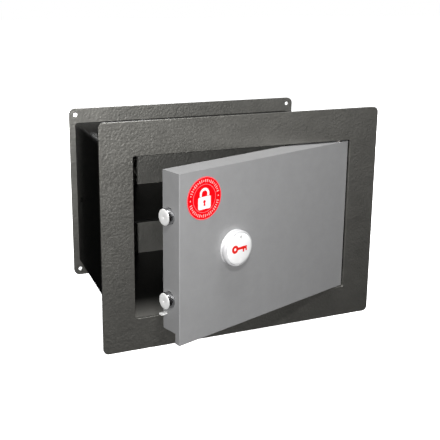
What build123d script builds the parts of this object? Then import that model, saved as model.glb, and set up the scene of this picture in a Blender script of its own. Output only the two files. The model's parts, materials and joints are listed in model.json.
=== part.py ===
from build123d import *
import math
import os

# A recessed wall safe: an anchored steel body with a front trim frame, and a thick door on hidden
# pivots at the right with two round bolts at the left, worked by a key through a swivelling cover.
# Millimetres, +Z up, +X to the right as seen from the front, +Y into the wall.
# The origin is the centre of the four anchor holes, on the rear face of the rear flange plate.
# Everything below is laid out with y counted from the front face of the trim frame and with the
# door shut; save_fixed and save_door move it to its place and swing the door to its rest pose.
# Every cutting shape runs past the faces it cuts by OVER.

os.makedirs("parts", exist_ok=True)

OVER = 1.0

# ---- Body ----
DEPTH = 236.0            # front face of the frame to the rear face of the flange
FRAME_W = 390.0
FRAME_H = 300.0
FRAME_T = 4.0
FRAME_R = 7.0
OPEN_W = 306.0
OPEN_H = 213.4
OPEN_R = 3.0
WALL_T = 2.0
SHELL_W = 351.0
SHELL_H = OPEN_H + 2 * WALL_T
SHELL_R = 5.0
REAR_W = 368.0
REAR_H = 260.0
REAR_T = 3.0
REAR_R = 9.0
ANCHOR_INSET = 9.5       # anchor hole centre to the edge of the rear flange
ANCHOR_R = 3.0

# ---- Shelf ----
SHELF_TOP = 6.6
SHELF_T = 2.0
SHELF_FRONT = 51.0
SHELF_SIDE_GAP = 0.5
SHELF_BACK_GAP = 1.0
ANGLE_LEG = 12.0
ANGLE_T = 1.5
ANGLE_FRONT = 62.0
ANGLE_BACK = 224.0
RIVET_INSET = 20.0       # rivet centre to the angle's end
RIVET_R = 2.0
RIVET_HEAD_R = 3.6
RIVET_HEAD_T = 1.2

# ---- Door ----
REST_OPEN = 19.2         # degrees that the door stands open at rest
DOOR_W = 296.0
DOOR_TOP = 104.4
DOOR_BOTTOM = -105.4
PLATE_T = 8.0
DOOR_T = 31.0
HINGE_GAP = 1.2
DOOR_RIGHT = OPEN_W / 2 - HINGE_GAP
DOOR_LEFT = DOOR_RIGHT - DOOR_W
PLATE_HINGE_R = 3.0      # rounding of the plate's front edge at the hinge side
PLATE_EDGE_R = 1.0
TRAY_BOTTOM = -92.2
TRAY_T = 2.0
TRAY_RIGHT = DOOR_RIGHT - 1.0
COVER_T = 1.2
TRAY_BACK = DOOR_T - COVER_T
POST_R = 4.0
POST_SITES = [(-130.0, 92.0), (-130.0, -82.0), (110.0, 92.0), (110.0, -82.0), (10.0, 92.0), (10.0, -82.0)]
SCREW_R = 1.5
SCREW_LENGTH = 9.0
SCREW_HEAD_R = 3.4
SCREW_HEAD_T = 1.4
SCREW_SLOT_W = 0.8
SCREW_SLOT_DEPTH = 0.6

# ---- Hinge ----
HINGE_X = DOOR_RIGHT - 12.0
HINGE_Y = 8.0
PIN_R = 3.0
PIN_FIT = 0.05
PIN_HEAD_R = 3.8
PIN_HEAD_T = 2.0
BUSH_R = 4.5
HINGE_BLOCK_W = 20.0
HINGE_BLOCK_T = 12.0
HINGE_BLOCK_FLOOR = 4.0  # solid metal under the upper bush
UPPER_BUSH_LENGTH = 18.5
LOWER_BUSH_LENGTH = 12.7
PIN_END_GAP = 0.5
BOSS_W = 22.0
BOSS_D = 16.0
BOSS_H = 12.0
WASHER_R = 7.0
WASHER_T = 1.1

# ---- Lock ----
LOCK_X = DOOR_RIGHT - 210.5
LOCK_Z = -0.8
HARD_T = 3.0
HARD_W = 84.0
HARD_H = 72.0
CASE_W = 80.0
CASE_H = 68.0
CASE_WALL = 1.5
CASE_FRONT = PLATE_T + HARD_T
CASE_BACK = 26.0
CASE_COVER_T = 1.5
CASE_POST_R = 3.0
CASE_POST_INSET = 2.2    # post centre to the inside of the case's walls
BARREL_R = 8.0
BARREL_FACE = -1.0
BARREL_BACK = 25.0
BARREL_TAIL_R = 6.0
BARREL_BUSH_R = 11.5
CIRCLIP_R = 9.0
CIRCLIP_T = 1.0
CIRCLIP_Y = 21.2
CIRCLIP_MOUTH = 4.0
KEYWAY_DEPTH = 18.0
KEYWAY_W = 2.4
KEYWAY_H = 11.0
KEYWAY_ROUND_R = 2.6

# ---- Rack and pinion ----
MODULE = 1.25
PINION_TEETH = 18
PRESSURE = math.radians(20.0)
PITCH_R = MODULE * PINION_TEETH / 2
DEDENDUM = 1.25 * MODULE
BACKLASH = 0.16          # taken off each tooth's width, on the pinion and on the rack
GEAR_FRONT = 16.0
GEAR_BACK = 20.0
RACK_DEPTH = 6.5         # solid bar above the rack's tooth roots
RACK_TEETH = 9
RACK_REACH = 22.0        # how far the bar runs past the pinion's centre
RACK_WINDOW_GAP = 0.4
RACK_GUIDE_W = 18.0
RACK_GUIDE_GAP = 0.2

# ---- Bolts and carriage ----
BOLT_R = 10.0
BOLT_FIT = 0.05
BOLT_Y = 19.3
BOLT_HALF_SPACING = 51.7
BOLT_Z = [LOCK_Z + BOLT_HALF_SPACING, LOCK_Z - BOLT_HALF_SPACING]
BOLT_OUT = 8.0           # how far the bolts stand out at rest
BOLT_CHAMFER = 1.5
BOLT_HOLE_R = 10.4
BOLT_STUB_R = 5.0
GUIDE_LENGTH = 10.0
GUIDE_H = 30.0
CARRIAGE_X = DOOR_LEFT + 28.0
CARRIAGE_T = 6.0
CARRIAGE_FRONT = 13.0
CARRIAGE_BACK = 26.0
CARRIAGE_TOP = BOLT_Z[0] + 11.0
CARRIAGE_BOTTOM = -77.0
NUT_R = 8.0
NUT_T = 4.0
TONGUE_Z = -71.5
TONGUE_T = 1.8
TONGUE_FRONT = 23.5
TONGUE_BACK = 29.2
TONGUE_GAP = 0.3

# ---- Escutcheon and cover ----
RING_R = 22.5
RING_H = 9.0
RING_BORE_R = 8.6
RING_EDGE_R = 1.2
RING_SCREW_OFFSET = 14.5
RING_SCREW_SEAT = -4.0
RING_SCREW_TIP = 6.0
RING_SCREW_HEAD_GAP = 0.2
DISC_R = 19.7
DISC_T = 1.5
DISC_GAP = 0.15
DISC_EDGE_R = 0.5
DIMPLE_R = 1.2
DIMPLE_DEPTH = 0.8
COVER_RIVET_OFFSET = 16.4
COVER_RIVET_R = 1.5
COVER_RIVET_HEAD_R = 2.4
COVER_RIVET_HEAD_T = 0.8
COVER_RIVET_EDGE_R = 0.35
COVER_RIVET_TIP = 4.0

# ---- Sticker ----
STICKER_X = DOOR_RIGHT - 258.9
STICKER_Z = 69.8
STICKER_R = 26.0
STICKER_T = 0.3


# ---- Small shape helpers ----
def block(x0, x1, y0, y1, z0, z1):
    centre = Pos((x0 + x1) / 2, (y0 + y1) / 2, (z0 + z1) / 2)
    return centre * Box(x1 - x0, y1 - y0, z1 - z0)


def along_x(x0, x1, y, z, radius):
    return Pos((x0 + x1) / 2, y, z) * Rot(0, 90, 0) * Cylinder(radius, x1 - x0)


def along_y(x, y0, y1, z, radius):
    return Pos(x, (y0 + y1) / 2, z) * Rot(90, 0, 0) * Cylinder(radius, y1 - y0)


def along_z(x, y, z0, z1, radius):
    return Pos(x, y, (z0 + z1) / 2) * Cylinder(radius, z1 - z0)


def rounded_plate(width, height, radius, y0, y1):
    """A plate facing the front, with rounded corners, from y0 back to y1."""
    return Pos(0, y1, 0) * Rot(90, 0, 0) * extrude(RectangleRounded(width, height, radius), y1 - y0)


def ring_y(x, y0, y1, z, outer, inner):
    return along_y(x, y0, y1, z, outer) - along_y(x, y0 - OVER, y1 + OVER, z, inner)


def screw_back(x, z, head_face):
    """A pan-head screw driven from the back towards the front, its head under head_face."""
    shank = along_y(x, head_face - SCREW_LENGTH, head_face, z, SCREW_R)
    head = along_y(x, head_face, head_face + SCREW_HEAD_T, z, SCREW_HEAD_R)
    head_top = head_face + SCREW_HEAD_T
    slot = block(x - SCREW_HEAD_R, x + SCREW_HEAD_R, head_top - SCREW_SLOT_DEPTH, head_top + OVER,
                 z - SCREW_SLOT_W / 2, z + SCREW_SLOT_W / 2)
    return shank + head - slot


# ---- Saving ----
TO_ORIGIN = Pos(0, -DEPTH, 0)
SWING = Pos(HINGE_X, HINGE_Y, 0) * Rot(0, 0, REST_OPEN) * Pos(-HINGE_X, -HINGE_Y, 0)


def save(name, pieces, place):
    """Write one node: a single solid, or a list of separate solids as one group."""
    if isinstance(pieces, list):
        pieces = Compound(children=pieces)
    export_step(place * pieces, f"parts/{name}.step")


def save_fixed(name, pieces):
    save(name, pieces, TO_ORIGIN)


def save_door(name, pieces):
    save(name, pieces, TO_ORIGIN * SWING)


# ---- Body pieces ----
def front_frame():
    plate = rounded_plate(FRAME_W, FRAME_H, FRAME_R, 0, FRAME_T)
    return plate - rounded_plate(OPEN_W, OPEN_H, OPEN_R, -OVER, FRAME_T + OVER)


def body_shell():
    """The folded sheet tube between the frame and the rear flange."""
    back = DEPTH - REAR_T
    outer = rounded_plate(SHELL_W, SHELL_H, SHELL_R, FRAME_T, back)
    inner = rounded_plate(SHELL_W - 2 * WALL_T, OPEN_H, SHELL_R - WALL_T, FRAME_T - OVER, back + OVER)
    shell = outer - inner - along_z(HINGE_X, HINGE_Y, -SHELL_H, SHELL_H, PIN_R)
    for y in rivet_rows():
        for x0, x1 in ((-SHELL_W, -SHELL_W / 4), (SHELL_W / 4, SHELL_W)):
            shell -= along_x(x0, x1, y, angle_rivet_z(), RIVET_R)
    return shell


def rear_flange_plate():
    plate = rounded_plate(REAR_W, REAR_H, REAR_R, DEPTH - REAR_T, DEPTH)
    for x in (-1, 1):
        for z in (-1, 1):
            plate -= along_y(x * (REAR_W / 2 - ANCHOR_INSET), DEPTH - REAR_T - OVER, DEPTH + OVER,
                             z * (REAR_H / 2 - ANCHOR_INSET), ANCHOR_R)
    return plate


# ---- Shelf pieces ----
def rivet_rows():
    return (ANGLE_FRONT + RIVET_INSET, ANGLE_BACK - RIVET_INSET)


def angle_rivet_z():
    return SHELF_TOP - SHELF_T - ANGLE_LEG / 2


def shelf():
    half = SHELL_W / 2 - WALL_T - SHELF_SIDE_GAP
    return block(-half, half, SHELF_FRONT, DEPTH - REAR_T - SHELF_BACK_GAP, SHELF_TOP - SHELF_T, SHELF_TOP)


def shelf_angle(side):
    """An L-shaped ledge: side is -1 for the left wall and +1 for the right wall."""
    top = SHELF_TOP - SHELF_T
    wall = SHELL_W / 2 - WALL_T
    upright = block(wall - ANGLE_T, wall, ANGLE_FRONT, ANGLE_BACK, top - ANGLE_LEG, top)
    ledge = block(wall - ANGLE_LEG, wall, ANGLE_FRONT, ANGLE_BACK, top - ANGLE_T, top)
    angle = upright + ledge
    for y in rivet_rows():
        angle -= along_x(wall - ANGLE_T - OVER, wall + OVER, y, angle_rivet_z(), RIVET_R)
    return angle if side > 0 else mirror(angle, about=Plane.YZ)


def shelf_rivets():
    inner = SHELL_W / 2 - WALL_T - ANGLE_T
    outer = SHELL_W / 2
    rivets = []
    for side in (-1, 1):
        for y in rivet_rows():
            z = angle_rivet_z()
            rivet = along_x(inner, outer, y, z, RIVET_R)
            rivet += along_x(inner - RIVET_HEAD_T, inner, y, z, RIVET_HEAD_R)
            rivet += along_x(outer, outer + RIVET_HEAD_T, y, z, RIVET_HEAD_R)
            rivets.append(rivet if side > 0 else mirror(rivet, about=Plane.YZ))
    return rivets


# ---- Hinge pieces ----
def hinge_boss(side):
    """The block welded on the shell behind the frame: side is +1 above the door and -1 below it."""
    near = SHELL_H / 2
    z0, z1 = sorted((side * near, side * (near + BOSS_H)))
    boss = block(HINGE_X - BOSS_W / 2, HINGE_X + BOSS_W / 2, FRAME_T, FRAME_T + BOSS_D, z0, z1)
    return boss - along_z(HINGE_X, HINGE_Y, z0 - OVER, z1 + OVER, PIN_R)


def hinge_pin(side):
    far = side * (SHELL_H / 2 + BOSS_H)
    if side > 0:
        tip = DOOR_TOP - UPPER_BUSH_LENGTH + PIN_END_GAP
    else:
        tip = DOOR_BOTTOM + LOWER_BUSH_LENGTH - PIN_END_GAP
    shank = along_z(HINGE_X, HINGE_Y, min(tip, far), max(tip, far), PIN_R)
    head_far = far + side * PIN_HEAD_T
    return shank + along_z(HINGE_X, HINGE_Y, min(far, head_far), max(far, head_far), PIN_HEAD_R)


def hinge_washer():
    floor = -OPEN_H / 2
    disc = along_z(HINGE_X, HINGE_Y, floor, floor + WASHER_T, WASHER_R)
    return disc - along_z(HINGE_X, HINGE_Y, floor - OVER, floor + WASHER_T + OVER, PIN_R)


def hinge_pocket():
    """The two round pockets that the bushes sit in, top and bottom."""
    upper = along_z(HINGE_X, HINGE_Y, DOOR_TOP - UPPER_BUSH_LENGTH, DOOR_TOP + OVER, BUSH_R)
    lower = along_z(HINGE_X, HINGE_Y, DOOR_BOTTOM - OVER, DOOR_BOTTOM + LOWER_BUSH_LENGTH, BUSH_R)
    return upper + lower


def hinge_bush(side):
    if side > 0:
        z0, z1 = DOOR_TOP - UPPER_BUSH_LENGTH, DOOR_TOP
    else:
        z0, z1 = DOOR_BOTTOM, DOOR_BOTTOM + LOWER_BUSH_LENGTH
    bore = along_z(HINGE_X, HINGE_Y, z0 - OVER, z1 + OVER, PIN_R + PIN_FIT)
    return along_z(HINGE_X, HINGE_Y, z0, z1, BUSH_R) - bore


def hinge_block(side):
    if side > 0:
        z1 = DOOR_TOP - TRAY_T
        z0 = z1 - UPPER_BUSH_LENGTH - HINGE_BLOCK_FLOOR
    else:
        z0, z1 = DOOR_BOTTOM, TRAY_BOTTOM
    right = TRAY_RIGHT - TRAY_T
    return block(right - HINGE_BLOCK_W, right, PLATE_T, PLATE_T + HINGE_BLOCK_T, z0, z1) - hinge_pocket()


# ---- Door shell pieces ----
def door_front_plate():
    outline = [(DOOR_LEFT, PLATE_T), (DOOR_RIGHT, PLATE_T), (DOOR_RIGHT, 0), (DOOR_LEFT, 0)]
    profile = make_face(Polyline(*outline, close=True))
    front = profile.vertices().sort_by(Axis.Y)[:2].sort_by(Axis.X)
    profile = fillet(front[1], PLATE_HINGE_R)
    front_left = profile.vertices().sort_by(Axis.Y)[:2].sort_by(Axis.X)[0]
    profile = fillet(front_left, PLATE_EDGE_R)
    plate = Pos(0, 0, DOOR_BOTTOM) * extrude(profile, DOOR_TOP - DOOR_BOTTOM)
    plate -= hinge_pocket()
    plate -= along_y(LOCK_X, -OVER, PLATE_T + OVER, LOCK_Z, BARREL_BUSH_R)
    for x in ring_screw_sites():
        plate -= along_y(x, -OVER, RING_SCREW_TIP, LOCK_Z, SCREW_R)
    return plate - along_y(LOCK_X, -OVER, COVER_RIVET_TIP, LOCK_Z + COVER_RIVET_OFFSET, COVER_RIVET_R)


def door_tray():
    """The welded box behind the plate: four walls, open at the back."""
    outer = block(DOOR_LEFT, TRAY_RIGHT, PLATE_T, TRAY_BACK, TRAY_BOTTOM, DOOR_TOP)
    inner = block(DOOR_LEFT + TRAY_T, TRAY_RIGHT - TRAY_T, PLATE_T - OVER, TRAY_BACK + OVER,
                  TRAY_BOTTOM + TRAY_T, DOOR_TOP - TRAY_T)
    tray = outer - inner - hinge_pocket()
    for z in BOLT_Z:
        tray -= along_x(DOOR_LEFT - OVER, DOOR_LEFT + TRAY_T + OVER, BOLT_Y, z, BOLT_HOLE_R)
    slot_half = TONGUE_T / 2 + TONGUE_GAP
    slot = block(DOOR_LEFT - OVER, DOOR_LEFT + TRAY_T + OVER, TONGUE_FRONT - TONGUE_GAP,
                 TONGUE_BACK + TONGUE_GAP, TONGUE_Z - slot_half, TONGUE_Z + slot_half)
    return tray - slot


def door_back_cover():
    cover = block(DOOR_LEFT, TRAY_RIGHT, TRAY_BACK, DOOR_T, TRAY_BOTTOM, DOOR_TOP)
    for x, z in POST_SITES:
        cover -= along_y(x, TRAY_BACK - OVER, DOOR_T + OVER, z, SCREW_R)
    return cover


def cover_posts():
    posts = []
    for x, z in POST_SITES:
        post = along_y(x, PLATE_T, TRAY_BACK, z, POST_R)
        posts.append(post - along_y(x, DOOR_T - SCREW_LENGTH, TRAY_BACK + OVER, z, SCREW_R))
    return posts


def cover_screws():
    return [screw_back(x, z, DOOR_T) for x, z in POST_SITES]


# ---- Lock pieces ----
def hard_plate():
    plate = block(LOCK_X - HARD_W / 2, LOCK_X + HARD_W / 2, PLATE_T, CASE_FRONT,
                  LOCK_Z - HARD_H / 2, LOCK_Z + HARD_H / 2)
    return plate - along_y(LOCK_X, PLATE_T - OVER, CASE_FRONT + OVER, LOCK_Z, BARREL_BUSH_R)


def case_post_sites():
    dx = CASE_W / 2 - CASE_WALL - CASE_POST_INSET
    dz = CASE_H / 2 - CASE_WALL - CASE_POST_INSET
    return [(LOCK_X + i * dx, LOCK_Z + j * dz) for i in (-1, 1) for j in (-1, 1)]


def lock_case():
    """The open lock box: front wall, four side walls and four corner posts."""
    x0, x1 = LOCK_X - CASE_W / 2, LOCK_X + CASE_W / 2
    z0, z1 = LOCK_Z - CASE_H / 2, LOCK_Z + CASE_H / 2
    case = block(x0, x1, CASE_FRONT, CASE_BACK, z0, z1)
    case -= block(x0 + CASE_WALL, x1 - CASE_WALL, CASE_FRONT + CASE_WALL, CASE_BACK + OVER,
                  z0 + CASE_WALL, z1 - CASE_WALL)
    for x, z in case_post_sites():
        case += along_y(x, CASE_FRONT + CASE_WALL, CASE_BACK, z, CASE_POST_R)
    for x, z in case_post_sites():
        case -= along_y(x, CASE_BACK + CASE_COVER_T - SCREW_LENGTH, CASE_BACK + OVER, z, SCREW_R)
    case -= along_y(LOCK_X, CASE_FRONT - OVER, CASE_FRONT + CASE_WALL + OVER, LOCK_Z, BARREL_BUSH_R)
    window = block(x0 - OVER, x0 + CASE_WALL + OVER, GEAR_FRONT - RACK_WINDOW_GAP, GEAR_BACK + RACK_WINDOW_GAP,
                   rack_tip_z() - RACK_WINDOW_GAP, rack_top_z() + RACK_WINDOW_GAP)
    return case - window


def lock_case_cover():
    cover = block(LOCK_X - CASE_W / 2, LOCK_X + CASE_W / 2, CASE_BACK, CASE_BACK + CASE_COVER_T,
                  LOCK_Z - CASE_H / 2, LOCK_Z + CASE_H / 2)
    for x, z in case_post_sites():
        cover -= along_y(x, CASE_BACK - OVER, CASE_BACK + CASE_COVER_T + OVER, z, SCREW_R)
    return cover


def lock_case_screws():
    return [screw_back(x, z, CASE_BACK + CASE_COVER_T) for x, z in case_post_sites()]


def barrel_bush():
    return ring_y(LOCK_X, 0, CASE_FRONT + CASE_WALL, LOCK_Z, BARREL_BUSH_R, BARREL_R + PIN_FIT)


def key_barrel():
    """The turning cylinder that the key goes in, with a keyway at its front and a tail for the circlip."""
    barrel = along_y(LOCK_X, BARREL_FACE, CIRCLIP_Y, LOCK_Z, BARREL_R)
    barrel += along_y(LOCK_X, CIRCLIP_Y, BARREL_BACK, LOCK_Z, BARREL_TAIL_R)
    keyway_end = BARREL_FACE + KEYWAY_DEPTH
    keyway = block(LOCK_X - KEYWAY_W / 2, LOCK_X + KEYWAY_W / 2, BARREL_FACE - OVER, keyway_end,
                   LOCK_Z - KEYWAY_H / 2, LOCK_Z + KEYWAY_H / 2)
    keyway += along_y(LOCK_X, BARREL_FACE - OVER, keyway_end, LOCK_Z, KEYWAY_ROUND_R)
    return barrel - keyway


def barrel_circlip():
    clip = ring_y(LOCK_X, CIRCLIP_Y, CIRCLIP_Y + CIRCLIP_T, LOCK_Z, CIRCLIP_R, BARREL_TAIL_R)
    mouth = block(LOCK_X - CIRCLIP_MOUTH / 2, LOCK_X + CIRCLIP_MOUTH / 2, CIRCLIP_Y - OVER,
                  CIRCLIP_Y + CIRCLIP_T + OVER, LOCK_Z - CIRCLIP_R - OVER, LOCK_Z)
    return clip - mouth


# ---- Rack and pinion ----
def involute(base, radius):
    """Polar angle of the involute of a base circle where it reaches a radius."""
    roll = math.sqrt((radius / base) ** 2 - 1)
    return roll - math.atan(roll)


def drive_pinion():
    """Involute gear on the barrel, with a tooth pointing straight up at the rack."""
    base = PITCH_R * math.cos(PRESSURE)
    tip = PITCH_R + MODULE
    root = PITCH_R - DEDENDUM
    half_at_pitch = (math.pi * MODULE / 2 - BACKLASH) / 2 / PITCH_R
    flank_steps = 6
    start = max(base, root + 0.05)
    points = []
    for tooth in range(PINION_TEETH):
        middle = math.pi / 2 + tooth * 2 * math.pi / PINION_TEETH
        flank = []
        for i in range(flank_steps + 1):
            radius = start + (tip - start) * i / flank_steps
            half = half_at_pitch + involute(base, PITCH_R) - involute(base, radius)
            flank.append((radius, half))
        half_root = flank[0][1] + 0.01
        points.append((root, middle - half_root))
        points += [(radius, middle - half) for radius, half in flank]
        points += [(radius, middle + half) for radius, half in reversed(flank)]
        points.append((root, middle + half_root))
    outline = [(r * math.cos(a), r * math.sin(a)) for r, a in points]
    gear = extrude(make_face(Polyline(*outline, close=True)), GEAR_BACK - GEAR_FRONT)
    gear = Pos(LOCK_X, GEAR_BACK, LOCK_Z) * Rot(90, 0, 0) * gear
    return gear - along_y(LOCK_X, GEAR_FRONT - OVER, GEAR_BACK + OVER, LOCK_Z, BARREL_R)


def rack_pitch_z():
    return LOCK_Z + PITCH_R


def rack_tip_z():
    return rack_pitch_z() - MODULE


def rack_root_z():
    return rack_pitch_z() + DEDENDUM


def rack_top_z():
    return rack_root_z() + RACK_DEPTH


def rack_bar():
    """The toothed bar that the pinion drives, with a gap straight above the pinion's top tooth."""
    pitch = math.pi * MODULE
    lean = math.tan(PRESSURE)
    half_pitch = (pitch / 2 - BACKLASH) / 2
    half_tip = half_pitch - MODULE * lean
    half_root = half_pitch + DEDENDUM * lean
    bar = block(CARRIAGE_X + CARRIAGE_T, LOCK_X + RACK_REACH, GEAR_FRONT, GEAR_BACK,
                rack_root_z(), rack_top_z())
    tooth_foot_z = rack_root_z() + 0.01      # each tooth stands a hair inside the bar, so that they join
    for number in range(RACK_TEETH):
        x = LOCK_X + (number - RACK_TEETH // 2 + 0.5) * pitch
        tooth = [(x - half_root, tooth_foot_z), (x - half_tip, rack_tip_z()),
                 (x + half_tip, rack_tip_z()), (x + half_root, tooth_foot_z)]
        face = make_face(Polyline(*tooth, close=True))
        bar += Pos(0, GEAR_BACK, 0) * Rot(90, 0, 0) * extrude(face, GEAR_BACK - GEAR_FRONT)
    return bar


def rack_guide():
    """The fixed block that keeps the rack down on the pinion."""
    return block(LOCK_X - RACK_GUIDE_W / 2, LOCK_X + RACK_GUIDE_W / 2, GEAR_FRONT - OVER, GEAR_BACK + OVER,
                 rack_top_z() + RACK_GUIDE_GAP, LOCK_Z + CASE_H / 2 - CASE_WALL)


# ---- Bolts and carriage ----
def bolt(z):
    tip = DOOR_LEFT - BOLT_OUT
    body = along_x(tip, CARRIAGE_X, BOLT_Y, z, BOLT_R)
    body = chamfer(body.edges().group_by(Axis.X)[0], BOLT_CHAMFER)
    return body + along_x(CARRIAGE_X, CARRIAGE_X + CARRIAGE_T, BOLT_Y, z, BOLT_STUB_R)


def bolt_guide(z):
    x0 = DOOR_LEFT + TRAY_T
    guide = block(x0, x0 + GUIDE_LENGTH, PLATE_T, TRAY_BACK, z - GUIDE_H / 2, z + GUIDE_H / 2)
    return guide - along_x(x0 - OVER, x0 + GUIDE_LENGTH + OVER, BOLT_Y, z, BOLT_R + BOLT_FIT)


def bolt_nuts():
    nuts = []
    for z in BOLT_Z:
        start = CARRIAGE_X + CARRIAGE_T
        nut = Pos(start, BOLT_Y, z) * Rot(0, 90, 0) * extrude(RegularPolygon(NUT_R, 6), NUT_T)
        nuts.append(nut)
    return nuts


def bolt_carriage():
    x0, x1 = CARRIAGE_X, CARRIAGE_X + CARRIAGE_T
    bar = block(x0, x1, CARRIAGE_FRONT, CARRIAGE_BACK, CARRIAGE_BOTTOM, CARRIAGE_TOP)
    for z in BOLT_Z:
        bar -= along_x(x0 - OVER, x1 + OVER, BOLT_Y, z, BOLT_STUB_R)
    return bar


def carriage_tongue():
    """The flat steel tongue below the lower bolt that steadies the carriage in the tray's edge."""
    return block(DOOR_LEFT - BOLT_OUT, CARRIAGE_X, TONGUE_FRONT, TONGUE_BACK,
                 TONGUE_Z - TONGUE_T / 2, TONGUE_Z + TONGUE_T / 2)


# ---- Escutcheon, cover and sticker ----
def ring_screw_sites():
    return (LOCK_X - RING_SCREW_OFFSET, LOCK_X + RING_SCREW_OFFSET)


def escutcheon_ring():
    ring = along_y(LOCK_X, -RING_H, 0, LOCK_Z, RING_R)
    ring = fillet(ring.edges().group_by(Axis.Y)[0], RING_EDGE_R)
    front = -RING_H - OVER
    ring -= along_y(LOCK_X, front, OVER, LOCK_Z, RING_BORE_R)
    for x in ring_screw_sites():
        ring -= along_y(x, front, OVER, LOCK_Z, SCREW_R)
        ring -= along_y(x, front, RING_SCREW_SEAT, LOCK_Z, SCREW_HEAD_R + RING_SCREW_HEAD_GAP)
    return ring - along_y(LOCK_X, front, OVER, LOCK_Z + COVER_RIVET_OFFSET, COVER_RIVET_R)


def escutcheon_screws():
    screws = []
    head_top = RING_SCREW_SEAT - SCREW_HEAD_T
    for x in ring_screw_sites():
        shank = along_y(x, RING_SCREW_SEAT, RING_SCREW_TIP, LOCK_Z, SCREW_R)
        head = along_y(x, head_top, RING_SCREW_SEAT, LOCK_Z, SCREW_HEAD_R)
        slot = block(x - SCREW_HEAD_R, x + SCREW_HEAD_R, head_top - OVER, head_top + SCREW_SLOT_DEPTH,
                     LOCK_Z - SCREW_SLOT_W / 2, LOCK_Z + SCREW_SLOT_W / 2)
        screws.append(shank + head - slot)
    return screws


def disc_back():
    return -RING_H - DISC_GAP


def keyhole_cover():
    """The round swivelling cover, hung from the rivet at its top, with a finger dimple at its foot."""
    face = disc_back() - DISC_T
    disc = along_y(LOCK_X, face, disc_back(), LOCK_Z, DISC_R)
    disc = fillet(disc.edges().group_by(Axis.Y)[0], DISC_EDGE_R)
    disc -= along_y(LOCK_X, face - OVER, disc_back() + OVER, LOCK_Z + COVER_RIVET_OFFSET,
                    COVER_RIVET_R + PIN_FIT)
    return disc - along_y(LOCK_X, face - OVER, face + DIMPLE_DEPTH, LOCK_Z - COVER_RIVET_OFFSET, DIMPLE_R)


def cover_rivet():
    z = LOCK_Z + COVER_RIVET_OFFSET
    head_back = disc_back() - DISC_T - DISC_GAP
    shank = along_y(LOCK_X, head_back, COVER_RIVET_TIP, z, COVER_RIVET_R)
    head = along_y(LOCK_X, head_back - COVER_RIVET_HEAD_T, head_back, z, COVER_RIVET_HEAD_R)
    return shank + fillet(head.edges().group_by(Axis.Y)[0], COVER_RIVET_EDGE_R)


def warning_sticker():
    return along_y(STICKER_X, -STICKER_T, 0, STICKER_Z, STICKER_R)


# ---- Write every piece ----
save_fixed("front_frame", front_frame())
save_fixed("body_shell", body_shell())
save_fixed("rear_flange_plate", rear_flange_plate())
save_fixed("shelf", shelf())
save_fixed("shelf_angle_left", shelf_angle(-1))
save_fixed("shelf_angle_right", shelf_angle(1))
save_fixed("shelf_rivets", shelf_rivets())
save_fixed("upper_hinge_boss", hinge_boss(1))
save_fixed("lower_hinge_boss", hinge_boss(-1))
save_fixed("upper_hinge_pin", hinge_pin(1))
save_fixed("lower_hinge_pin", hinge_pin(-1))
save_fixed("hinge_washer", hinge_washer())

save_door("door_front_plate", door_front_plate())
save_door("door_tray", door_tray())
save_door("door_back_cover", door_back_cover())
save_door("cover_posts", cover_posts())
save_door("cover_screws", cover_screws())
save_door("upper_hinge_block", hinge_block(1))
save_door("lower_hinge_block", hinge_block(-1))
save_door("upper_hinge_bush", hinge_bush(1))
save_door("lower_hinge_bush", hinge_bush(-1))
save_door("hard_plate", hard_plate())
save_door("lock_case", lock_case())
save_door("lock_case_cover", lock_case_cover())
save_door("lock_case_screws", lock_case_screws())
save_door("barrel_bush", barrel_bush())
save_door("rack_guide", rack_guide())
save_door("upper_bolt_guide", bolt_guide(BOLT_Z[0]))
save_door("lower_bolt_guide", bolt_guide(BOLT_Z[1]))
save_door("escutcheon_ring", escutcheon_ring())
save_door("escutcheon_screws", escutcheon_screws())
save_door("cover_rivet", cover_rivet())
save_door("warning_sticker", warning_sticker())

save_door("upper_bolt", bolt(BOLT_Z[0]))
save_door("lower_bolt", bolt(BOLT_Z[1]))
save_door("bolt_carriage", bolt_carriage())
save_door("bolt_nuts", bolt_nuts())
save_door("rack_bar", rack_bar())
save_door("carriage_tongue", carriage_tongue())

save_door("key_barrel", key_barrel())
save_door("drive_pinion", drive_pinion())
save_door("barrel_circlip", barrel_circlip())

save_door("keyhole_cover", keyhole_cover())
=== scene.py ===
import json
import math

import bmesh
import bpy
from mathutils import Matrix, Vector


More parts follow.
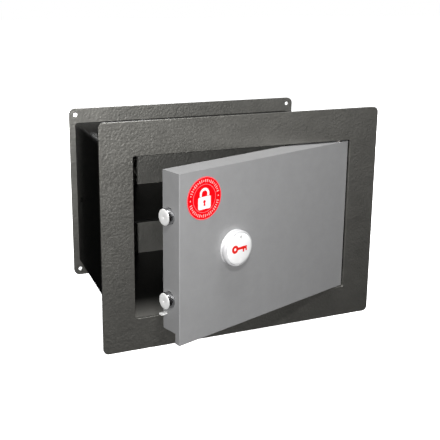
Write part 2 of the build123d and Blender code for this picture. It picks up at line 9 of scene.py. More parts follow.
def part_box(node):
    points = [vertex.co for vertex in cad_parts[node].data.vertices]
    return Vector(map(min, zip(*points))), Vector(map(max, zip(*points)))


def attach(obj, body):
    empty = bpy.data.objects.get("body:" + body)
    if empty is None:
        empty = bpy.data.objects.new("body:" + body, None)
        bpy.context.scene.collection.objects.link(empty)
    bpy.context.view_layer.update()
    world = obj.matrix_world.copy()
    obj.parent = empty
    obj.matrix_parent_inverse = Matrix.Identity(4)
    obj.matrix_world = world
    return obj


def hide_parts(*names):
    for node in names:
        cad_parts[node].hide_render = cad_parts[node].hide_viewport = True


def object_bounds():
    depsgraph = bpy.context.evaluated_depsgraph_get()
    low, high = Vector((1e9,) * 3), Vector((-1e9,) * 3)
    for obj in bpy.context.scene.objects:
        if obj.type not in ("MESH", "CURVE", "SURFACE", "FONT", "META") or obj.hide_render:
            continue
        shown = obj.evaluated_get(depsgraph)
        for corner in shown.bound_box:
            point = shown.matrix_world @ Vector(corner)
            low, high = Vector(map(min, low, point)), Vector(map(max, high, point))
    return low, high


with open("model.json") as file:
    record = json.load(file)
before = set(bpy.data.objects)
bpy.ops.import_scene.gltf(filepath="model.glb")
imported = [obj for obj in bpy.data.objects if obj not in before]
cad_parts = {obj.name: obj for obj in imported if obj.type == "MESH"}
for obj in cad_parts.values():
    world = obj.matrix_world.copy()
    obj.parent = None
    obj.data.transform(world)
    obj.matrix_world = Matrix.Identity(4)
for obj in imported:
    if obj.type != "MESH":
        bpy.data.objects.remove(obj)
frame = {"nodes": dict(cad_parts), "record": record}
cad_box = [list(corner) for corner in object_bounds()]

# The looks of a recessed wall safe, built round its imported CAD frame.
# Metres, +Z up; the safe faces -Y. Places on the door come from the frame: a node's box, or a
# joint's pivot and axis. The camera, the lights and the edge of the painted light on the body's
# floor are given as plain coordinates.

MM = 0.001
INK_T = 0.05 * MM                                        # how far a print stands above its surface
ROUND_SEGMENTS = 128                                     # sides of the large turned pieces
SMALL_SEGMENTS = 32                                      # sides of holes and dimples

JOINTS = {joint["name"]: joint for joint in frame["record"]["behaviour"]["joints"]}
UP = Vector((0, 0, 1))
DOOR_OUT = Vector(JOINTS["key_turn"]["axis"])            # straight out of the door's face
DOOR_RIGHT = -Vector(JOINTS["bolt_throw"]["axis"])       # along the face, towards the hinge
LOCK_CENTRE = Vector(JOINTS["key_turn"]["pos_m"])        # on the door's front face
COVER_PIVOT = Vector(JOINTS["cover_swivel"]["pos_m"])


# ---- Places ----
def on_door(point):
    """A frame with X to the right along the door's face, Y up and Z straight out of it."""
    axes = Matrix((DOOR_RIGHT, UP, DOOR_OUT)).transposed().to_4x4()
    return Matrix.Translation(point) @ axes


def along_bolt(point):
    """A frame whose Z runs out of the door's lock side, along a bolt."""
    axes = Matrix((UP, DOOR_OUT, -DOOR_RIGHT)).transposed().to_4x4()
    return Matrix.Translation(point) @ axes


def node_centre(node):
    low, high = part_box(node)
    return (Vector(low) + Vector(high)) / 2


def node_radius(node):
    """Half the height of a round node."""
    low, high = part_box(node)
    return (high[2] - low[2]) / 2


def at_height(point, height):
    """A point moved straight out of the door until it lies at a height along DOOR_OUT."""
    return point + DOOR_OUT * (height - point.dot(DOOR_OUT))


def node_reach(node, direction):
    """How far a node's own vertices reach along a direction: lowest and highest."""
    values = [v.co.dot(direction) for v in frame["nodes"][node].data.vertices]
    return min(values), max(values)


# ---- Node-tree helpers ----
def new_material(name):
    material = bpy.data.materials.new(name)
    material.use_nodes = True
    tree = material.node_tree
    shader = tree.nodes["Principled BSDF"]
    return material, tree, shader


def add(tree, kind, **values):
    """A new node, with its inputs set by name."""
    node = tree.nodes.new(kind)
    for key, value in values.items():
        node.inputs[key.replace("_", " ")].default_value = value
    return node


def noise(tree, scale, detail=2.0, roughness=0.5, distortion=0.0):
    node = add(
        tree, "ShaderNodeTexNoise",
        Scale=scale, Detail=detail, Roughness=roughness, Distortion=distortion,
    )
    tree.links.new(coordinates(tree), node.inputs["Vector"])
    return node.outputs["Fac"]


def coordinates(tree):
    """The piece's own coordinates in metres, so that a texture moves with its piece."""
    node = tree.nodes.get("piece_coordinates")
    if node is None:
        node = tree.nodes.new("ShaderNodeTexCoord")
        node.name = "piece_coordinates"
    return node.outputs["Object"]


def cells(tree, scale, smoothness):
    node = tree.nodes.new("ShaderNodeTexVoronoi")
    node.feature = "SMOOTH_F1"
    node.inputs["Scale"].default_value = scale
    node.inputs["Smoothness"].default_value = smoothness
    tree.links.new(coordinates(tree), node.inputs["Vector"])
    return node.outputs["Distance"]


def spread(tree, value, low, high, source_low=0.3, source_high=0.7):
    """Map a texture's middle range onto low to high."""
    node = tree.nodes.new("ShaderNodeMapRange")
    node.inputs["From Min"].default_value = source_low
    node.inputs["From Max"].default_value = source_high
    node.inputs["To Min"].default_value = low
    node.inputs["To Max"].default_value = high
    tree.links.new(value, node.inputs["Value"])
    return node.outputs["Result"]


def math_node(tree, operation, first, second):
    node = tree.nodes.new("ShaderNodeMath")
    node.operation = operation
    for socket, value in zip(node.inputs, (first, second)):
        if isinstance(value, (int, float)):
            socket.default_value = value
        else:
            tree.links.new(value, socket)
    return node.outputs[0]


def mix_colours(tree, factor, first, second):
    node = tree.nodes.new("ShaderNodeMix")
    node.data_type = "RGBA"
    node.inputs["A"].default_value = (*first, 1)
    node.inputs["B"].default_value = (*second, 1)
    tree.links.new(factor, node.inputs["Factor"])
    return next(out for out in node.outputs if out.type == "RGBA")


def bump(tree, height, strength, distance, below=None):
    node = add(tree, "ShaderNodeBump", Strength=strength, Distance=distance)
    tree.links.new(height, node.inputs["Height"])
    if below is not None:
        tree.links.new(below, node.inputs["Normal"])
    return node.outputs["Normal"]


def shade(colour, factor):
    return tuple(channel * factor for channel in colour)


def vary_colour(tree, shader, factor, first, second):
    tree.links.new(mix_colours(tree, factor, first, second), shader.inputs["Base Color"])


def vary_gloss(tree, shader, value, low, high):
    tree.links.new(spread(tree, value, low, high), shader.inputs["Roughness"])


# ---- Materials ----
def hammered_paint(name, colour, metallic, roughness, strength):
    """Dark hammer-finish enamel: soft dimples a few millimetres across, with a metallic glint."""
    dimple_scale, wrinkle_scale, fine_scale, mottle_scale = 330.0, 280.0, 1500.0, 26.0
    dimple_share = 0.8
    material, tree, shader = new_material(name)
    dimples = cells(tree, dimple_scale, 0.6)
    wrinkles = noise(tree, wrinkle_scale, 3.0, 0.55, 0.8)
    height = math_node(tree, "ADD", math_node(tree, "MULTIPLY", dimples, dimple_share), wrinkles)
    fine = noise(tree, fine_scale, 2.0, 0.6)
    normal = bump(tree, height, strength, 0.8 * MM, bump(tree, fine, 0.12, 0.1 * MM))
    tree.links.new(normal, shader.inputs["Normal"])
    mottle = spread(tree, noise(tree, mottle_scale, 4.0, 0.6), 0.0, 1.0)
    vary_colour(tree, shader, mottle, shade(colour, 0.9), shade(colour, 1.1))
    vary_gloss(tree, shader, wrinkles, roughness - 0.05, roughness + 0.07)
    shader.inputs["Metallic"].default_value = metallic
    return material


def textured_paint(name, colour, roughness):
    """Light grey powder coat: fine grain over a soft ripple, a millimetre to a few across."""
    grain_scale, ripple_scale, mottle_scale = 900.0, 260.0, 60.0
    material, tree, shader = new_material(name)
    grain = noise(tree, grain_scale, 3.0, 0.55)
    ripple = noise(tree, ripple_scale, 2.0, 0.5)
    normal = bump(tree, grain, 0.32, 0.16 * MM, bump(tree, ripple, 0.18, 0.25 * MM))
    tree.links.new(normal, shader.inputs["Normal"])
    mottle = spread(tree, noise(tree, mottle_scale, 5.0, 0.65), 0.0, 1.0)
    vary_colour(tree, shader, mottle, shade(colour, 0.96), shade(colour, 1.04))
    vary_gloss(tree, shader, grain, roughness - 0.05, roughness + 0.06)
    return material


def metal(name, colour, roughness, wear, scratch_scale, stretch=(1, 1, 1), metallic=1.0):
    """Bare or plated metal: marks in the gloss, and fine scratches drawn out by stretch."""
    smear_scale, tint_scale = 70.0, 110.0
    material, tree, shader = new_material(name)
    smear = noise(tree, smear_scale, 4.0, 0.6)
    vary_gloss(tree, shader, smear, roughness - wear, roughness + wear)
    mapping = tree.nodes.new("ShaderNodeMapping")
    mapping.inputs["Scale"].default_value = stretch
    tree.links.new(coordinates(tree), mapping.inputs["Vector"])
    scratches = add(tree, "ShaderNodeTexNoise", Scale=scratch_scale, Detail=3.0, Roughness=0.6)
    tree.links.new(mapping.outputs["Vector"], scratches.inputs["Vector"])
    tree.links.new(bump(tree, scratches.outputs["Fac"], 0.10, 0.05 * MM), shader.inputs["Normal"])
    tint = spread(tree, noise(tree, tint_scale, 3.0, 0.5), 0.0, 1.0)
    vary_colour(tree, shader, tint, shade(colour, 0.93), colour)
    shader.inputs["Metallic"].default_value = metallic
    return material


def smooth_coat(name, colour, roughness, coat, gloss=0.5):
    """Enamel, ink or vinyl: nearly even colour, a faint orange peel, and a clear coat if asked."""
    peel_scale, tint_scale = 420.0, 90.0
    material, tree, shader = new_material(name)
    peel = noise(tree, peel_scale, 2.0, 0.5)
    tree.links.new(bump(tree, peel, 0.06, 0.1 * MM), shader.inputs["Normal"])
    tint = spread(tree, noise(tree, tint_scale, 3.0, 0.6), 0.0, 1.0)
    vary_colour(tree, shader, tint, shade(colour, 0.965), colour)
    vary_gloss(tree, shader, peel, roughness - 0.03, roughness + 0.03)
    shader.inputs["Specular IOR Level"].default_value = gloss
    shader.inputs["Coat Weight"].default_value = coat
    shader.inputs["Coat Roughness"].default_value = 0.08
    return material


# Painted light on the body's floor: a lighter colour near the front face, fading with depth, stands
# in for light falling in through the opening.
SAFE_FRONT = -236.0 * MM                  # front face of the trim frame, along Y
OPENING_FOOT = -106.7 * MM                # the opening's lower edge, along Z
PAINTED_LIGHT_DEPTH = (8.0 * MM, 62.0 * MM)       # behind the front face: where it starts to fade, and ends
PAINTED_LIGHT_HEIGHT = (1.0 * MM, 3.0 * MM)          # above the opening's foot: the same, upwards


def black_paint_with_painted_floor_light(name, colour, floor_light_colour):
    """Black satin paint, with painted light on the front of the body's floor: a lighter colour,
    fading away from the front, stands in for the light falling in through the opening.
    """
    material = smooth_coat(name, colour, 0.5, 0.0, 0.12)
    tree = material.node_tree
    shader = tree.nodes["Principled BSDF"]
    place = tree.nodes.new("ShaderNodeSeparateXYZ")
    tree.links.new(coordinates(tree), place.inputs["Vector"])
    fade_start, fade_end = (SAFE_FRONT + distance for distance in PAINTED_LIGHT_DEPTH)
    depth = spread(tree, place.outputs["Y"], 1.0, 0.0, fade_start, fade_end)
    band_low, band_high = (OPENING_FOOT + distance for distance in PAINTED_LIGHT_HEIGHT)
    low = spread(tree, place.outputs["Z"], 1.0, 0.0, band_low, band_high)
    # mask of the painted light: full near the front face and low on the floor, nothing elsewhere
    cover = math_node(tree, "MULTIPLY", depth, low)
    vary_colour(tree, shader, cover, colour, floor_light_colour)
    return material


MATERIALS = {
    # name, colour, metallic, roughness, strength of the dimples
    "dark_hammered_paint": hammered_paint(
        "dark_hammered_paint", (0.198, 0.194, 0.178), 0.83, 0.42, 0.34),
    # name, colour, colour of the painted light on the front of the floor
    "black_satin_paint": black_paint_with_painted_floor_light(
        "black_satin_paint", (0.004, 0.004, 0.0037), (0.09, 0.088, 0.081)),
    # name, colour, roughness
    "grey_textured_paint": textured_paint("grey_textured_paint", (0.264, 0.264, 0.266), 0.42),
    # name, colour, roughness, wear, scale of the scratches, their stretch
    "chromed_steel": metal("chromed_steel", (0.52, 0.52, 0.53), 0.24, 0.04, 900.0),
    "zinc_steel": metal("zinc_steel", (0.62, 0.63, 0.65), 0.36, 0.08, 700.0, (1, 1, 0.15)),
    "bare_steel": metal("bare_steel", (0.44, 0.44, 0.45), 0.32, 0.08, 800.0, (0.15, 1, 1)),
    "bush_brass": metal("bush_brass", (0.78, 0.58, 0.28), 0.28, 0.06, 900.0),
    "ring_metal": metal("ring_metal", (0.88, 0.88, 0.89), 0.2, 0.03, 900.0, metallic=0.4),
    # name, colour, roughness, clear coat, gloss
    "white_enamel": smooth_coat("white_enamel", (0.93, 0.93, 0.925), 0.25, 0.6),
    "red_label": smooth_coat("red_label", (0.8, 0.002, 0.006), 0.4, 0.05, 0.2),
}
# The rear plate, back wall inside included, takes a lighter copy of the frame's hammered paint: the
# extra lightness is painted light.
REAR_PAINT_WITH_PAINTED_LIGHT = hammered_paint("rear_hammered_paint_painted_light", (0.255, 0.251, 0.233), 0.86, 0.42, 0.38)
RED_INK = smooth_coat("red_ink", (0.76, 0.012, 0.008), 0.36, 0.2)
WHITE_INK = smooth_coat("white_ink", (0.9, 0.88, 0.87), 0.36, 0.2)
PALE_INK = smooth_coat("pale_ink", (0.95, 0.17, 0.2), 0.36, 0.2)
LABEL_INK = smooth_coat("label_ink", (0.93, 0.42, 0.42), 0.36, 0.2)
# Near-black colour of the painted shade in the finger dimple and on the rivet's head
RECESS_SHADE_PAINT = smooth_coat("painted_recess_shade", (0.05, 0.05, 0.05), 0.5, 0.0)
TURNED_END = metal("turned_end", (0.93, 0.93, 0.92), 0.42, 0.05, 1400.0, metallic=0.15)

SLOT_OF = {part["node"]: part["material_slot"] for part in frame["record"]["subparts"]}
BODY_OF = {
    node: body
    for body, nodes in frame["record"]["behaviour"]["bodies"].items()
    for node in nodes
}


# ---- Mesh helpers ----
def finish_piece(piece, body, material):
    piece.data.materials.clear()
    piece.data.materials.append(material)
    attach(piece, body)


def object_from(name, bm, smooth_angle=40.0):
    """An object at the origin from a bmesh in row coordinates, smooth except at real edges."""
    bmesh.ops.recalc_face_normals(bm, faces=bm.faces)
    limit = math.radians(smooth_angle)
    for face in bm.faces:
        face.smooth = True
    for edge in bm.edges:
        edge.smooth = edge.is_manifold and edge.calc_face_angle(0.0) < limit
    mesh = bpy.data.meshes.new(name)
    bm.to_mesh(mesh)
    bm.free()
    piece = bpy.data.objects.new(name, mesh)
    bpy.context.scene.collection.objects.link(piece)
    return piece


def lathe(name, profile, place, segments=96):
    """Turn a closed outline of (radius, height) points about the Z axis of a place."""
    bm = bmesh.new()
    columns = []
    for i in range(segments):
        turn = 2 * math.pi * i / segments
        column = [
            bm.verts.new((radius * math.cos(turn), radius * math.sin(turn), height))
            for radius, height in profile
        ]
        columns.append(column)
    for i in range(segments):
        here, there = columns[i], columns[(i + 1) % segments]
        for j in range(len(profile)):
            k = (j + 1) % len(profile)
            bm.faces.new((here[j], there[j], there[k], here[k]))
    bmesh.ops.remove_doubles(bm, verts=bm.verts, dist=1e-7)
    bmesh.ops.dissolve_degenerate(bm, edges=bm.edges, dist=1e-8)
    bm.transform(place)
    return object_from(name, bm)


def rounded(corners, steps):
    """A closed outline from (x, y, radius) corners, with each corner turned into an arc."""
    points = []
    count = len(corners)
    for i, (x, y, radius) in enumerate(corners):
        here = Vector((x, y))
        before = (Vector(corners[i - 1][:2]) - here).normalized()
        after = (Vector(corners[(i + 1) % count][:2]) - here).normalized()
        half = before.angle(after) / 2
        centre = here + (before + after).normalized() * radius / math.sin(half)
        start = here + before * radius / math.tan(half) - centre
        end = here + after * radius / math.tan(half) - centre
        sweep = start.angle_signed(end)
        for step in range(steps + 1):
            spoke = start.copy()
            spoke.rotate(Matrix.Rotation(-sweep * step / steps, 2))
            points.append(tuple(centre + spoke))
    return points


def circle(x, y, radius, segments=48):
    turns = [2 * math.pi * i / segments for i in range(segments)]
    return [(x + radius * math.cos(t), y + radius * math.sin(t)) for t in turns]


def printed(name, loops, place, thickness):
    """A thin raised print: closed 2-D outlines, with an outline inside another as a hole."""
    curve = bpy.data.curves.new(name, "CURVE")
    curve.dimensions = "2D"
    curve.fill_mode = "BOTH"
    curve.extrude = thickness / 2
    for loop in loops:
        spline = curve.splines.new("POLY")
        spline.points.add(len(loop) - 1)
        for point, (x, y) in zip(spline.points, loop):
            point.co = (x, y, 0, 1)
        spline.use_cyclic_u = True
    source = bpy.data.objects.new(name, curve)
    mesh = bpy.data.meshes.new_from_object(source)
    bm = bmesh.new()
    bm.from_mesh(mesh)
    bmesh.ops.remove_doubles(bm, verts=bm.verts, dist=1e-7)
    bm.transform(place @ Matrix.Translation((0, 0, thickness / 2)))
    bpy.data.objects.remove(source)
    bpy.data.curves.remove(curve)
    bpy.data.meshes.remove(mesh)
    return object_from(name, bm, 30.0)


def bake_modifiers(piece):
    """Make the modifiers' result the piece's own mesh."""
    bpy.context.view_layer.update()
    graph = bpy.context.evaluated_depsgraph_get()
    mesh = bpy.data.meshes.new_from_object(piece.evaluated_get(graph))
    piece.modifiers.clear()
    piece.data = mesh


EDGE_SEGMENTS = 2
FLAT_ANGLE = math.radians(0.6)            # faces closer than this are one flat face
HARD_EDGE = math.radians(50)              # edges sharper than this are rounded
NO_CREASES = 180.0                        # smooth over every edge; the rounding keeps faces flat


def softened(node, width, material=None):
    """A copy of a CAD node with its hard edges rounded, which is shown in the node's stead."""
    bm = bmesh.new()
    bm.from_mesh(frame["nodes"][node].data)
    bmesh.ops.remove_doubles(bm, verts=bm.verts, dist=1e-6)
    bmesh.ops.dissolve_limit(bm, angle_limit=FLAT_ANGLE, verts=bm.verts, edges=bm.edges)
    piece = object_from(node + "_finished", bm, NO_CREASES)
    rounding = piece.modifiers.new("edges", "BEVEL")
    rounding.width = width
    rounding.segments = EDGE_SEGMENTS
    rounding.limit_method = "ANGLE"
    rounding.angle_limit = HARD_EDGE
    rounding.use_clamp_overlap = True
    flatness = piece.modifiers.new("flat_faces", "WEIGHTED_NORMAL")
    flatness.mode = "FACE_AREA"
    flatness.weight = 100
    bake_modifiers(piece)
    slot = SLOT_OF[node]
    finish_piece(piece, BODY_OF[node], material or MATERIALS[slot])
    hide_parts(node)


# ---- CAD nodes that stay, with their finishes ----
for node_name, node_object in frame["nodes"].items():
    node_object.data.materials.clear()
    node_object.data.materials.append(MATERIALS[SLOT_OF[node_name]])

PLATE_EDGE = 0.6 * MM
DOOR_EDGE = 0.3 * MM
SHEET_EDGE = 0.25 * MM
FITTING_EDGE = 0.3 * MM
softened("front_frame", PLATE_EDGE)
# the rear plate takes the lighter copy of the paint, with painted light in it
softened("rear_flange_plate", PLATE_EDGE, material=REAR_PAINT_WITH_PAINTED_LIGHT)
for node_name in ("shelf", "door_tray", "door_back_cover"):
    softened(node_name, SHEET_EDGE)
softened("door_front_plate", DOOR_EDGE)
softened("carriage_tongue", FITTING_EDGE, material=TURNED_END)
for node_name in ("upper_hinge_boss", "lower_hinge_boss", "cover_screws", "shelf_rivets"):
    softened(node_name, FITTING_EDGE)


# ---- Bolts ----
def turned_bolt(node):
    """A chromed bolt with a rounded chamfer, a faced end and the lathe's centre mark in it."""
    low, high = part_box(node)
    radius = node_radius(node)
    inner, tip = node_reach(node, -DOOR_RIGHT)
    depth = sum(node_reach(node, DOOR_OUT)) / 2
    axis_point = Vector((0, 0, (low[2] + high[2]) / 2)) + DOOR_OUT * depth - DOOR_RIGHT * inner
    length = tip - inner
    chamfer = 0.9 * MM
    easing = 0.2 * MM
    mark_radius = 1.4 * MM
    mark_depth = 1.2 * MM
    shoulder = 6.0 * MM      # the stub that goes through the carriage
    stub_radius = radius / 2
    end_facing = 0.6         # faces turned more than this towards the tip take the turned finish
    profile = [
        (0, length - mark_depth),
        (mark_radius, length - easing / 2),
        (mark_radius + easing, length),
        (radius - chamfer - easing, length),
        (radius - chamfer, length - easing / 2),
        (radius - easing / 2, length - chamfer),
        (radius, length - chamfer - easing),
        (radius, shoulder),
        (stub_radius, shoulder),
        (stub_radius, 0),
        (0, 0),
    ]
    piece = lathe(node + "_turned", profile, along_bolt(axis_point))
    finish_piece(piece, BODY_OF[node], MATERIALS["chromed_steel"])
    piece.data.materials.append(TURNED_END)
    for face in piece.data.polygons:
        face.material_index = int(face.normal.dot(DOOR_RIGHT) < -end_facing)
    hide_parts(node)
    return piece


BOLTS = [turned_bolt("upper_bolt"), turned_bolt("lower_bolt")]


# ---- Escutcheon, cover and its sign ----
def cut(piece, tool):
    """Cut a tool's shape out of a piece."""
    cutter = piece.modifiers.new("cut", "BOOLEAN")
    cutter.operation = "DIFFERENCE"
    cutter.solver = "EXACT"
    cutter.object = tool
    bake_modifiers(piece)
    bpy.data.objects.remove(tool)


def escutcheon():
    """The polished ring: a stepped foot, a slim waist, a rounded crown and a recessed top."""
    radius = node_radius("escutcheon_ring")
    low, high = node_reach("escutcheon_ring", DOOR_OUT)
    height = high - low
    bore = 8.6 * MM
    profile = [
        (bore, 0),
        (radius, 0),
        (radius, 1.5 * MM),
        (radius - 0.25 * MM, 1.8 * MM),
        (radius - 0.7 * MM, 2.0 * MM),
        (radius - 0.7 * MM, 2.5 * MM),
        (radius - 0.25 * MM, 2.7 * MM),
        (radius, 3.0 * MM),
        (radius, height - 1.5 * MM),
        (radius - 0.2 * MM, height - 0.8 * MM),
        (radius - 0.65 * MM, height - 0.25 * MM),
        (radius - 1.3 * MM, height),
        (radius - 1.9 * MM, height - 0.1 * MM),
        (radius - 2.2 * MM, height - 0.5 * MM),
        (bore + 0.4 * MM, height - 0.5 * MM),
        (bore, height - 0.9 * MM),
    ]
    ring = lathe("escutcheon_ring_polished", profile, on_door(LOCK_CENTRE), ROUND_SEGMENTS)
    finish_piece(ring, "door", MATERIALS["ring_metal"])
    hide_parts("escutcheon_ring")


def keyhole_cover():
    """The white cover: a flat face, a wide sloped rim, a pivot hole above and a dimple below."""
    radius = node_radius("keyhole_cover")
    back, front = node_reach("keyhole_cover", DOOR_OUT)
    thick = front - back
    base = at_height(LOCK_CENTRE, back)
    rim = 2.1 * MM
    clear = thick + 1.0 * MM     # how high the cutting tools reach
    profile = [
        (0, 0),
        (radius - 0.3 * MM, 0),
        (radius, 0.25 * MM),
        (radius, 0.65 * MM),
        (radius - 0.25 * MM, 0.95 * MM),
        (radius - rim, thick - 0.08 * MM),
        (radius - rim - 0.3 * MM, thick),
        (0, thick),
    ]
    cover = lathe("keyhole_cover_enamel", profile, on_door(base), ROUND_SEGMENTS)
    pivot_rise = COVER_PIVOT.z - LOCK_CENTRE.z
    for name, rise, hole_radius, floor in (
        ("pivot_hole", pivot_rise, 1.55 * MM, -1.0 * MM),
        ("finger_dimple", -pivot_rise, 1.2 * MM, thick - 0.8 * MM),
    ):
        outline = [(0, floor), (hole_radius, floor), (hole_radius, clear), (0, clear)]
        cut(cover, lathe(name, outline, on_door(base + UP * rise), SMALL_SEGMENTS))
    finish_piece(cover, "keyhole_cover", MATERIALS["white_enamel"])
    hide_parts("keyhole_cover")
    # Painted shade: a dark disc laid in the finger dimple darkens it where shade falls.
    dimple_shade_place = on_door(base - UP * pivot_rise + DOOR_OUT * (thick - 0.7 * MM))
    dimple_shade_radius = 1.15 * MM
    dimple_shade_outline = [(0, 0), (dimple_shade_radius, 0), (dimple_shade_radius, 0.1 * MM), (0, 0.25 * MM)]
    dimple_shade = lathe("finger_dimple_painted_shade", dimple_shade_outline, dimple_shade_place, SMALL_SEGMENTS)
    finish_piece(dimple_shade, "keyhole_cover", RECESS_SHADE_PAINT)
    sign_rise = 1.2 * MM
    sign_place = on_door(base + DOOR_OUT * thick + UP * sign_rise)
    sign = printed("key_sign", key_outline(), sign_place, INK_T)
    finish_piece(sign, "keyhole_cover", RED_INK)
    # Painted shade: a dark print on the rivet's head stands in for the shade of a slot; no slot is
    # cut.
    half_w, half_h = 0.55 * MM, 1.3 * MM
    slot_shade_outline = [(-half_w, -half_h), (half_w, -half_h), (half_w, half_h), (-half_w, half_h)]
    head = at_height(COVER_PIVOT, node_reach("cover_rivet", DOOR_OUT)[1])
    slot = printed("rivet_slot_painted_shade", [slot_shade_outline], on_door(head), INK_T)
    finish_piece(slot, "door", RECESS_SHADE_PAINT)


def key_outline():
    """A plain key lying on its side: a round bow with a hole, a shaft and two teeth."""
    bow_x = -8.2 * MM
    bow_radius = 5.2 * MM
    neck = bow_x + 0.88 * bow_radius
    bow = circle(bow_x, 0, bow_radius, 40)
    gap = [p for p in bow if p[0] < neck]
    start = gap.index(min((p for p in gap if p[1] > 0), key=lambda p: -p[0]))
    ring = gap[start:] + gap[:start]
    half = 1.7 * MM
    tip = 11.0 * MM
    tooth = -half - 3.8 * MM
    short_tooth = -half - 2.9 * MM
    tooth_left, tooth_right, short_left = 4.4 * MM, 6.8 * MM, 8.8 * MM
    shaft = [
        (neck, -half),
        (tooth_left, -half), (tooth_left, tooth), (tooth_right, tooth), (tooth_right, -half),
        (short_left, -half), (short_left, short_tooth), (tip, short_tooth),
        (tip, half), (neck, half),
    ]
    bow_hole = 1.8 * MM
    return [ring + shaft, circle(bow_x, 0, bow_hole, 32)]


# ---- Round label ----
def ring_band(outer, inner):
    return [circle(0, 0, radius, 96) for radius in (outer, inner)]


def tick_marks(radius, length, width, gap_turns):
    """Short dashes round the rim, in runs with a dot between them at the gaps."""
    loops = []
    count = 46
    gap_half_width = 0.24        # radians
    short_dash = 0.6             # every third dash, as a share of the others
    for i in range(count):
        turn = 2 * math.pi * i / count
        offsets = [abs((turn - gap + math.pi) % (2 * math.pi) - math.pi) for gap in gap_turns]
        if min(offsets) < gap_half_width:
            continue
        reach = length * (1.0 if i % 3 else short_dash)
        along = Vector((math.cos(turn), math.sin(turn)))
        across = Vector((-along.y, along.x)) * width / 2
        middle = along * radius
        corners = [middle - along * reach / 2 - across, middle + along * reach / 2 - across,
                   middle + along * reach / 2 + across, middle - along * reach / 2 + across]
        loops.append([tuple(corner) for corner in corners])
    for gap in gap_turns:
        loops.append(circle(radius * math.cos(gap), radius * math.sin(gap), width * 0.8, 20))
    return loops


def padlock_outline():
    """A closed padlock: a rounded body with a keyhole, under a thick shackle."""
    half_w, low, top = 9.5 * MM, -13.0 * MM, 2.2 * MM
    foot_r, shoulder_r = 2.4 * MM, 2.0 * MM
    body = rounded([
        (-half_w, low, foot_r), (half_w, low, foot_r),
        (half_w, top, shoulder_r), (-half_w, top, shoulder_r),
    ], 6)
    outer, inner = 7.2 * MM, 4.2 * MM
    spring = 5.4 * MM
    foot = top + 0.5 * MM
    turns = [math.pi * i / 24 for i in range(25)]
    arch = [(outer * math.cos(t), spring + outer * math.sin(t)) for t in turns]
    arch_back = [(inner * math.cos(t), spring + inner * math.sin(t)) for t in reversed(turns)]
    feet = [(-outer, foot), (-inner, foot)]
    shackle = [(outer, foot)] + arch + feet + arch_back + [(inner, foot)]
    hole_y, hole_radius = -4.0 * MM, 2.0 * MM
    hole_turns = [math.radians(degrees) for degrees in range(-60, 241, 15)]
    hole = [(hole_radius * math.cos(t), hole_y + hole_radius * math.sin(t)) for t in hole_turns]
    slot_half_w, slot_foot = 1.6 * MM, hole_y - 5.0 * MM
    keyhole = hole + [(-slot_half_w, slot_foot), (slot_half_w, slot_foot)]
    return [body, keyhole], [shackle]


def round_label():
    """A red vinyl disc with a rounded edge, and its print raised a hair above it."""
    radius = node_radius("warning_sticker")
    back, front = node_reach("warning_sticker", DOOR_OUT)
    base = at_height(node_centre("warning_sticker"), back)
    top = front - back - INK_T
    profile = [(0, 0), (radius, 0), (radius, top * 0.5), (radius - 0.12 * MM, top), (0, top)]
    disc = lathe("round_label_vinyl", profile, on_door(base), ROUND_SEGMENTS)
    finish_piece(disc, "door", MATERIALS["red_label"])
    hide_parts("warning_sticker")
    face = on_door(base + DOOR_OUT * top)
    lock_body, shackle = padlock_outline()
    prints = (
        ("label_border", ring_band(radius - 0.25 * MM, radius - 0.95 * MM), PALE_INK),
        ("label_inner_ring", ring_band(17.2 * MM, 16.6 * MM), PALE_INK),
        ("label_ticks", tick_marks(21.2 * MM, 3.6 * MM, 1.15 * MM, (0.0, math.pi)), LABEL_INK),
        ("label_padlock_body", lock_body, WHITE_INK),
        ("label_padlock_shackle", shackle, WHITE_INK),
    )
    for name, loops, ink in prints:
        finish_piece(printed(name, loops, face, INK_T), "door", ink)


escutcheon()
keyhole_cover()
round_label()


# ---- Camera ----
CAMERA_POSITION = (-0.3963, -1.1079, 0.3155)
CAMERA_YAW = 22.06        # degrees to the right of +Y
CAMERA_PITCH = -13.26
CAMERA_ROLL = 0.58
CAMERA_LENS = 62.17
CAMERA_SENSOR = 36.0
CAMERA_SHIFT = (0.0073, -0.1364)


def make_camera():
    data = bpy.data.cameras.new("camera")
    data.sensor_width = CAMERA_SENSOR
    data.lens = CAMERA_LENS
    data.shift_x, data.shift_y = CAMERA_SHIFT
    camera = bpy.data.objects.new("camera", data)
    aim = Matrix.Rotation(math.radians(-CAMERA_YAW), 4, "Z")
    aim = aim @ Matrix.Rotation(math.radians(90 + CAMERA_PITCH), 4, "X")
    aim = aim @ Matrix.Rotation(math.radians(CAMERA_ROLL), 4, "Z")
    camera.matrix_world = Matrix.Translation(CAMERA_POSITION) @ aim
    bpy.context.scene.collection.objects.link(camera)
    bpy.context.scene.camera = camera


make_camera()


# ---- Light ----
def area_light(name, position, target, size, power):
    data = bpy.data.lights.new(name, "AREA")
    data.shape = "DISK"
    data.size = size
    data.energy = power
    light = bpy.data.objects.new(name, data)
    light.location = position
    light.rotation_mode = "QUATERNION"
    light.rotation_quaternion = (Vector(target) - Vector(position)).to_track_quat("-Z", "Y")
    light.visible_camera = False
    bpy.context.scene.collection.objects.link(light)
    return light


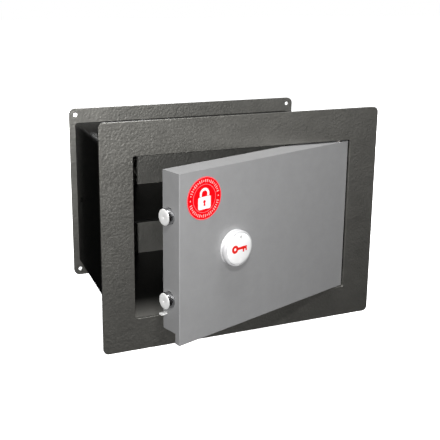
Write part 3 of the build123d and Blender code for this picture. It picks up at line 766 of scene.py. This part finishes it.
def studio_world():
    """White behind the object, with only a little light falling on it from above."""
    world = bpy.data.worlds.new("studio")
    world.use_nodes = True
    tree = world.node_tree
    tree.nodes.clear()
    output = tree.nodes.new("ShaderNodeOutputWorld")
    mixer = tree.nodes.new("ShaderNodeMixShader")
    seen = add(tree, "ShaderNodeBackground", Strength=1.0)
    seen.inputs["Color"].default_value = (1, 1, 1, 1)
    lit = add(tree, "ShaderNodeBackground", Strength=1.0)
    direction = tree.nodes.new("ShaderNodeTexCoord")
    split = tree.nodes.new("ShaderNodeSeparateXYZ")
    tree.links.new(direction.outputs["Generated"], split.inputs["Vector"])
    height = spread(tree, split.outputs["Z"], 0.01, 0.08, -0.1, 1.0)
    tree.links.new(height, lit.inputs["Strength"])
    path = tree.nodes.new("ShaderNodeLightPath")
    tree.links.new(path.outputs["Is Camera Ray"], mixer.inputs["Fac"])
    tree.links.new(lit.outputs["Background"], mixer.inputs[1])
    tree.links.new(seen.outputs["Background"], mixer.inputs[2])
    tree.links.new(mixer.outputs["Shader"], output.inputs["Surface"])
    bpy.context.scene.world = world


def studio_floor():
    """A plain white floor under the safe, lit by itself and left out of what the safe reflects."""
    floor_half_width = 8.0
    bm = bmesh.new()
    bmesh.ops.create_grid(bm, x_segments=1, y_segments=1, size=floor_half_width)
    bm.transform(Matrix.Translation((0, 0, cad_box[0][2])))
    floor = object_from("floor", bm)
    material, _, shader = new_material("floor_white")
    shader.inputs["Base Color"].default_value = (0.8, 0.8, 0.8, 1)
    shader.inputs["Roughness"].default_value = 0.9
    shader.inputs["Specular IOR Level"].default_value = 0.1
    shader.inputs["Emission Color"].default_value = (1, 1, 1, 1)
    shader.inputs["Emission Strength"].default_value = 1.0
    floor.data.materials.append(material)
    floor.visible_diffuse = False
    floor.visible_glossy = False


studio_world()
studio_floor()
AIM = (0, -0.2, 0)
LIGHTS = (                # name, place, width in metres, watts
    ("key", (-0.435, -1.15, 0.325), 0.012, 10.6),
    ("high", (-0.3, -1.2, 0.92), 0.1, 7.4),
    ("right", (0.7, -1.5, 0.15), 0.6, 0.9),
    ("top", (0.0, -0.42, 1.3), 0.5, 17.5),
    ("back_right", (1.6, 0.7, 0.5), 0.8, 40.0),
    ("back", (0.1, 1.6, 0.2), 0.8, 14.0),
    ("left", (-0.85, -0.6, 0.05), 0.3, 4.2),
)
OFF_THE_BOLTS = ("key", "right")          # a choice of look: the bolts are lit apart
ON_THE_BOLTS_ALONE = ("left",)


def link(light, pieces, state):
    """Keep a light off some pieces (EXCLUDE), or let it fall on them alone (INCLUDE)."""
    group = bpy.data.collections.new(light.name + "_receivers")
    for piece in pieces:
        group.objects.link(piece)
    for member in group.collection_objects:
        member.light_linking.link_state = state
    light.light_linking.receiver_collection = group


for name, position, size, power in LIGHTS:
    light = area_light(name, position, AIM, size, power)
    if name in OFF_THE_BOLTS:
        link(light, BOLTS, "EXCLUDE")
    if name in ON_THE_BOLTS_ALONE:
        link(light, BOLTS, "INCLUDE")

bpy.context.scene.view_settings.view_transform = "Standard"
bpy.context.scene.view_settings.look = "None"
